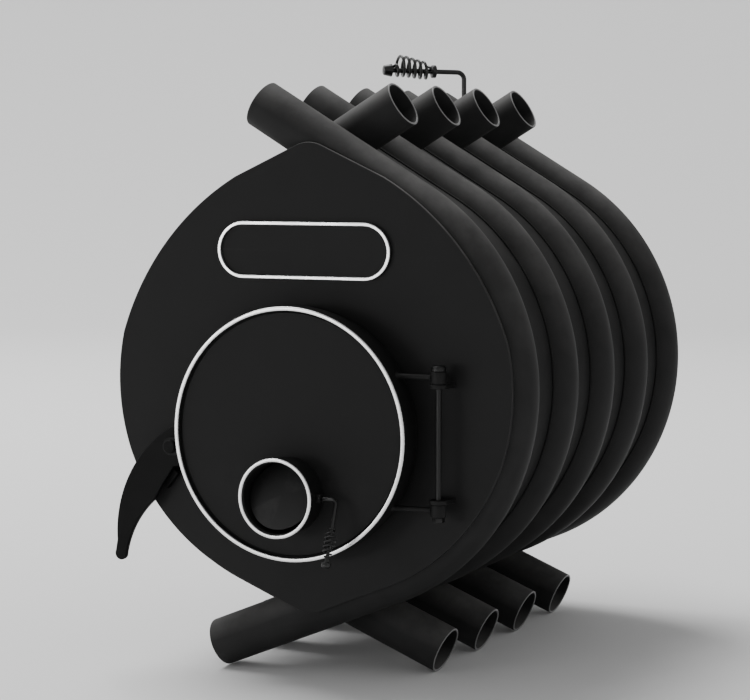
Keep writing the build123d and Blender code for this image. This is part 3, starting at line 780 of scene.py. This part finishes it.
for node in ("door_arm_upper", "door_arm_lower"):
    low, high = node_box(node)
    middle = (low.z + high.z) / 2
    eye = tube_profile(eye_radius, eye_bore, -eye_half, eye_half, 0.9)
    arm = Form().turned((pin_x, pin_y, middle), (0, 0, 1), eye, 56)
    reach = sqrt(lid_radius ** 2 - (middle - door_z) ** 2)
    start, end = pin_x - 8.5, door_x + reach - 1.0
    shank = [Vector((start + (end - start) * k / 30, pin_y, middle)) for k in range(31)]
    flare = [arm_radius + 2.0 * max(0.0, 1 - abs(p.x - start) / 3.0) ** 2
             + 2.4 * max(0.0, 1 - abs(p.x - end) / 4.0) ** 2 for p in shank]
    arm.wire(shank, arm_radius, sides=20, radii=flare)
    arm.piece(node + "_bar", door_paint, "door", "door_enamel", [node])

pin_low, pin_high = node_box("hinge_pin")
pin_length = pin_high.z - pin_low.z
pin_profile = domed_pin(pin_length, pin_radius, 9.0, 7.0, 3.5, 0.6, 0.6)
Form().turned((pin_x, pin_y, pin_low.z), (0, 0, 1), pin_profile, 40).piece(
    "hinge_bolt", dark_steel, "stove", "bare_steel", ["hinge_pin"])
nut_low, nut_high = node_box("hinge_pin_nut")
pin_nut_plan = [hexagon(pin_x, pin_y, nut_width), circle((pin_x, pin_y), pin_nut_bore, 28)]
Form().slab(pin_nut_plan, nut_low.z, nut_high.z, 0.7, level).piece(
    "hinge_bolt_nut", dark_steel, "stove", "bare_steel", ["hinge_pin_nut"])

# Latch
latch_x, _, latch_z = middle_of("latch_pin")
lever_low, lever_high = node_box("latch_lever")
lever_points = arc_through((-1.0, 25.0), (-57.5, -28.0), (-82.5, -124.0), 36)
lever_points += arc_through((-85.0, -138.0), (-80.0, -149.5), (-70.0, -145.0), 14)
lever_points += arc_through((-70.0, -145.0), (-59.0, -110.0), (-29.0, -71.0), 24)[1:]
lever_points += [(-15.0, -48.0)]
lever_points += arc_through((0.0, -26.0), (24.5, -0.5), (-1.0, 25.0), 30)[:-1]
lever_plan = [(x + latch_x, z + latch_z) for x, z in lever_points]
lever_hole = circle((latch_x, latch_z), 5.05, 40)
Form().slab([lever_plan, lever_hole], lever_low.y, lever_high.y, 1.6, facing, 5).piece(
    "lever_blade", iron_paint, "latch", "lever_iron", ["latch_lever"])

ear_low, ear_high = node_box("latch_ear")
ear_right = door_x - sqrt(lid_radius ** 2 - (latch_z - door_z) ** 2) + 1.0
ear_radius = 11.0
ear_plan = arc((latch_x, latch_z), ear_radius, 90, 270, 28)
ear_plan += [(ear_right, latch_z - ear_radius), (ear_right, latch_z + ear_radius)]
Form().slab([ear_plan, circle((latch_x, latch_z), 5.0, 32)], ear_low.y, ear_high.y, 0.8, facing).piece(
    "latch_bracket", door_paint, "door", "door_enamel", ["latch_ear"])
pivot_low, pivot_high = node_box("latch_pin")
pivot_length = pivot_high.y - pivot_low.y
pivot_radius, pivot_head_radius = 5.0, 8.5
pivot = domed_pin(pivot_length, pivot_radius, pivot_head_radius, 4.0, 2.0, 0.4, 0.3)
Form().turned((latch_x, pivot_high.y, latch_z), forward, pivot, 40).piece(
    "latch_rivet", iron_paint, "door", "bare_steel", ["latch_pin"])
washer_low, washer_high = node_box("latch_pin_washer")
Form().turned((latch_x, washer_high.y, latch_z), forward,
              tube_profile(pivot_head_radius, pivot_radius, 0, washer_high.y - washer_low.y, 0.5), 40).piece(
    "latch_washer", iron_paint, "door", "bare_steel", ["latch_pin_washer"])
button_low, button_high = node_box("latch_stud")
button_x, _, button_z = middle_of("latch_stud")
button_length = button_high.y - button_low.y
button = rounded([(0, pole), (0, 8.0), (3.0, 8.0), (3.0, 4.0), (button_length, 4.0), (button_length, pole)],
                 [0, 0.8, 0.8, 0.5, 0.4, 0], 4)
Form().turned((button_x, button_high.y, button_z), forward, button, 36).piece(
    "latch_button", dark_steel, "latch", "bare_steel", ["latch_stud"])

# Air inlet
pipe_low, pipe_high = node_box("inlet_pipe")
pipe_back, pipe_front = front_y - pipe_high.y, front_y - pipe_low.y
pipe_profile = tube_profile(inlet_radius, inlet_radius - inlet_wall, pipe_back, pipe_front, 0.8)
Form().turned(inlet_at, forward, pipe_profile, 128).piece(
    "inlet_sleeve", door_paint, "door", "door_enamel", ["inlet_pipe"])
ring_low, ring_high = node_box("inlet_trim_ring")
ring_outer = (ring_high.x - ring_low.x) / 2
ring_width = 4.4
ring_profile = tube_profile(ring_outer, ring_outer - ring_width, front_y - ring_high.y,
                            front_y - ring_low.y, 1.2)
Form().turned(inlet_at, forward, ring_profile, 128).piece(
    "inlet_trim", polished, "door", "polished_trim", ["inlet_trim_ring"])

valve_y = middle_of("inlet_bushes").y
valve_at = Vector((inlet_x, valve_y, inlet_z))
bushes = Form()
for side in (1, -1):
    bush = tube_profile(5.5, 2.3, inlet_radius - 1.0, inlet_radius + 6.0, 0.6, 3)
    bushes.turned(valve_at, (side, 0, 0), bush, 36)
bushes.piece("inlet_sockets", door_paint, "door", "bare_steel", ["inlet_bushes"])

# The flap lies in front of its spindle's sleeve
tilt = radians(22.0)
valve_rod, valve_sleeve, valve_sleeve_half = 2.2, 3.4, 22.0
valve_down = Vector((0, -sin(tilt), -cos(tilt)))
valve_face = Vector((0, cos(tilt), -sin(tilt)))
disc_radius = 42.3
disc_front, disc_thick = 3.5, 2.0
disc_back = disc_thick - disc_front
disc_profile = rounded([(-disc_front, pole), (-disc_front, disc_radius), (disc_back, disc_radius),
                        (disc_back, pole)], [0, 0.45, 0.45, 0], 3)
valve_disc = Form().turned(valve_at, valve_face, disc_profile, 96)
sleeve_profile = tube_profile(valve_sleeve, valve_rod, -valve_sleeve_half, valve_sleeve_half, 0.5)
valve_disc.turned(valve_at, (1, 0, 0), sleeve_profile, 32)
valve_disc.piece("inlet_flap", flap_paint, "air_valve", "bare_steel", ["inlet_disc"])


def bent_line(points, radius, steps=10):
    """A path of straight runs whose corners are rounded."""
    line = [points[0]]
    for before, corner, after in zip(points, points[1:], points[2:]):
        back, on = (before - corner).normalized(), (after - corner).normalized()
        half = acos(back.dot(on)) / 2
        hub = corner + (back + on).normalized() * (radius / sin(half))
        start, end = corner + back * (radius / tan(half)), corner + on * (radius / tan(half))
        for k in range(steps + 1):
            share = k / steps
            spoke = (start - hub) * (1 - share) + (end - hub) * share
            line.append(hub + spoke.normalized() * radius)
    return line + [points[-1]]


def rod_ends(line, radius):
    """The line with extra points near its ends, and the radii that chamfer them."""
    first = line[0] + (line[1] - line[0]).normalized() * 0.5
    last = line[-1] + (line[-2] - line[-1]).normalized() * 0.5
    radii = [radius - 0.5] + [radius] * len(line) + [radius - 0.5]
    return [line[0], first] + line[1:-1] + [last, line[-1]], radii


def rod_piece(name, line, radius, material, body, slot, nodes):
    points, radii = rod_ends(line, radius)
    return Form().wire(points, radius, sides=24, radii=radii).piece(name, material, body, slot, nodes)


rod_box = node_box("inlet_rod")
valve_foot = Vector((rod_box[0].x, valve_y, inlet_z))
valve_corner = Vector((67.0, valve_y, inlet_z))
valve_reach = 80.0
valve_tip = valve_corner + valve_down * valve_reach
rod_piece("inlet_shaft", bent_line([valve_foot, valve_corner, valve_tip], 7.0), valve_rod, wire_steel,
          "air_valve", "bare_steel", ["inlet_rod"])


def barrel(narrow, near, far, settle=6):
    """Radius of a grip's turns along it."""
    def at(share):
        ease = min(1.0, share * settle, (1 - share) * settle)
        return narrow + (near + (far - near) * share - narrow) * sin(ease * pi / 2)
    return at


def grip_coil(base, axis, across, length, turns, wire, radius_at, sit=0.0):
    """The wire of a grip as one line: a foot, the turns and a foot."""
    other = axis.cross(across)
    foot, lead = wire, 1.4 * wire
    turn_steps, lead_steps = 28, 6
    span = length - 2 * foot - 2 * lead
    lead_turn = radians(75)
    last = 2 * pi * turns
    steps = int(turns * turn_steps)

    def spot(angle, radius, height, aside=0.0):
        return base + axis * height + across * aside + (across * cos(angle) + other * sin(angle)) * radius

    points = [spot(-lead_turn, radius_at(0), 0), spot(-lead_turn, radius_at(0), foot)]
    points += [spot(-lead_turn * (1 - k / lead_steps), radius_at(0), foot + lead * k / lead_steps)
               for k in range(1, lead_steps)]
    for k in range(steps + 1):
        share = k / steps
        aside = sit * min(1.0, share * 1.4) * min(1.0, (1 - share) * 11)
        points.append(spot(last * share, radius_at(share), foot + lead + span * share, aside))
    points += [spot(last + lead_turn * k / lead_steps, radius_at(1),
                    foot + lead + span + lead * k / lead_steps) for k in range(1, lead_steps)]
    return points + [spot(last + lead_turn, radius_at(1), height) for height in (length - foot, length)]


valve_wire, valve_coil_start, valve_coil_length = 1.0, 37.0, 32.0
coil = grip_coil(valve_corner + valve_down * valve_coil_start, valve_down, Vector((1, 0, 0)),
                 valve_coil_length, 5, valve_wire, barrel(valve_rod + valve_wire + 0.6, 6.0, 6.6))
Form().wire(coil, valve_wire, sides=12).piece(
    "inlet_coil", wire_steel, "air_valve", "grip_wire", ["inlet_grip_coil"])
collars = Form()
collar_radius, collar_length = 4.5, 1.6
for start in (valve_coil_start - collar_length, valve_coil_start + valve_coil_length):
    collar = tube_profile(collar_radius, valve_rod, start, start + collar_length, 0.4)
    collars.turned(valve_corner, valve_down, collar, 32)
collars.piece("inlet_collars", wire_steel, "air_valve", "grip_wire", ["inlet_grip_collars"])
cap_low, cap_radius = valve_reach - 3.5, 5.6
knob = rounded([(cap_low, pole), (cap_low, cap_radius), (cap_low + 7.0, cap_radius), (cap_low + 7.0, pole)],
               [0, 2.0, 2.6, 0], 6)
Form().turned(valve_corner, valve_down, knob, 36).piece(
    "inlet_knob", wire_steel, "air_valve", "grip_wire", ["inlet_grip_cap"])

# Flue stub and damper
flue_low, flue_high = node_box("flue_stub")
flue_length = flue_high.y - flue_low.y
flue_bore, spigot_radius = 56.5, 59.0
step_start, step_end = flue_length - 80.0, flue_length - 77.0
stub = rounded([(0, flue_bore), (0, flue_radius), (step_start, flue_radius), (step_end, spigot_radius),
                (flue_length, spigot_radius), (flue_length, flue_bore)], [0.5, 0.5, 2.0, 2.0, 0.8, 0.8], 4)
Form().turned((flue_x, flue_low.y, flue_z), (0, 1, 0), stub, 128).piece(
    "flue_pipe", plate_paint, "stove", "plate_enamel", ["flue_stub"])
damper_y = middle_of("damper_bushes").y
damper_at = Vector((flue_x, damper_y, flue_z))
socket_end = 72.0
sockets = Form()
for side in (1, -1):
    bush = tube_profile(8.0, 3.7, spigot_radius, socket_end, 0.8, 3)
    sockets.turned(damper_at, (0, 0, side), bush, 40)
sockets.piece("damper_sockets", plate_paint, "stove", "bare_steel", ["damper_bushes"])

swung, lift = radians(40.0), radians(1.2)
arm_level = Vector((-cos(swung), -sin(swung), 0))
handle = arm_level * cos(lift) + Vector((0, 0, sin(lift)))
plate_normal = Vector((sin(swung), -cos(swung), 0))
damper_radius, flow_hole, flow_hole_at, flap_half_thick = 55.0, 14, 30, 1.25
damper_rod, damper_sleeve, damper_sleeve_half = 3.6, 7.0, 35.0


def on_damper(u, v, height):
    return damper_at + arm_level * u + Vector((0, 0, 1)) * v + plate_normal * height


flap_outlines = [circle((0, 0), damper_radius, 120)]
flap_outlines += [circle((at, 0), flow_hole, 48) for at in (flow_hole_at, -flow_hole_at)]
flap = Form().slab(flap_outlines, -flap_half_thick, flap_half_thick, 0.5, on_damper)
flap_sleeve = tube_profile(damper_sleeve, damper_rod, -damper_sleeve_half, damper_sleeve_half, 0.6)
flap.turned(damper_at, (0, 0, 1), flap_sleeve, 36)
flap.piece("damper_flap", fired_steel, "flue_damper", "bare_steel", ["damper_disc"])

damper_foot = Vector((flue_x, damper_y, flue_z - socket_end))
damper_corner = Vector((flue_x, damper_y, centre_z + 403.0))
damper_tip = damper_corner + handle * 122.0
rod_piece("damper_shaft", bent_line([damper_foot, damper_corner, damper_tip], 11.0), damper_rod, wire_steel,
          "flue_damper", "bare_steel", ["damper_rod"])
damper_wire, collar_start, collar_end, cap_start, cap_end = 1.9, 44.0, 50.0, 111.0, 123.5
sideways = Vector((-sin(swung), cos(swung), 0))
coil = grip_coil(damper_corner + handle * collar_end, handle, sideways.cross(handle),
                 cap_start - collar_end, 6, damper_wire,
                 barrel(damper_rod + damper_wire + 1.0, 11.5, 15.2, 8), 6.5)
shown_wire = damper_wire * 1.1
Form().wire(coil, shown_wire, sides=14).piece(
    "damper_coil", wire_steel, "flue_damper", "grip_wire", ["damper_grip_coil"])
grip_end_radius = 9.5
damper_collar = tube_profile(grip_end_radius, damper_rod, collar_start, collar_end, 0.8)
Form().turned(damper_corner, handle, damper_collar, 40).piece(
    "damper_collar", wire_steel, "flue_damper", "grip_wire", ["damper_grip_collar"])
cap = rounded([(cap_start, damper_rod), (cap_start, grip_end_radius), (cap_end, grip_end_radius * 0.75),
               (cap_end, pole)], [0, 0.8, 1.6, 0], 5)
Form().turned(damper_corner, handle, cap[1:], 40).piece(
    "damper_cap", wire_steel, "flue_damper", "grip_wire", ["damper_grip_cap"])

# Materials of the CAD nodes that are shown
shown = {"strip": strip_paint, "baffle": fired_steel, "injector": fired_steel, "ash": fired_steel,
         "latch_keeper": iron_paint}
for name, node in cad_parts.items():
    for start, material in shown.items():
        if name.startswith(start):
            node.data.materials.clear()
            node.data.materials.append(material)

# Pale floor that curves up into a backdrop all round
def stage_floor():
    material, tree, shader = new_material("studio_floor")
    shader.inputs["Base Color"].default_value = grey(0.8)
    shader.inputs["Roughness"].default_value = 0.85
    shader.inputs["Specular IOR Level"].default_value = 0.1
    reach, curve_radius, height = 7000.0, 1500.0, 1700.0
    flat = [(0.0, 1.0), (0.0, 1500.0), (0.0, reach - curve_radius)]
    bend = [(curve_radius * (1 - cos(radians(a))), reach - curve_radius * (1 - sin(radians(a))))
            for a in range(5, 91, 5)]
    floor = Form().turned((0, 0, 0), (0, 0, 1), flat + bend + [(height, reach)], 128, closed=False,
                          caps=False)
    mesh = bpy.data.meshes.new("studio_floor")
    mesh.from_pydata([v * MM for v in floor.verts], [], floor.faces)
    mesh.shade_smooth()
    mesh.materials.append(material)
    obj = bpy.data.objects.new("studio_floor", mesh)
    bpy.context.scene.collection.objects.link(obj)


stage_floor()


def area_light(name, place, target, size, power):
    data = bpy.data.lights.new(name, "AREA")
    data.shape = "RECTANGLE"
    data.size, data.size_y = size
    data.energy = power
    light = bpy.data.objects.new(name, data)
    light.location = place
    light.rotation_euler = (Vector(target) - Vector(place)).to_track_quat("-Z", "Y").to_euler()
    bpy.context.scene.collection.objects.link(light)


area_light("key", (-3.0, -5.0, 0.3), (0, 0, 0.4), (2.0, 1.2), 49)
area_light("overhead", (-3.0, 1.6, 6.2), (0, 0, 0.4), (4.8, 4.0), 620)
area_light("backdrop", (-1.0, 2.4, 3.6), (-4.0, 6.2, 0.4), (5.0, 1.0), 5)
world = bpy.data.worlds.new("studio")
world.use_nodes = True
world.node_tree.nodes["Background"].inputs[0].default_value = grey(0.47)
bpy.context.scene.world = world

# Camera at the photograph's place
camera_data = bpy.data.cameras.new("camera")
camera = bpy.data.objects.new("camera", camera_data)
bpy.context.scene.collection.objects.link(camera)
camera.location = (1.2704, -2.8797, 0.6519)
camera.rotation_euler = (radians(85.14), 0, radians(24.68))
camera_data.lens = 112.81
camera_data.sensor_width = 36
camera_data.sensor_fit = "HORIZONTAL"
bpy.context.scene.camera = camera
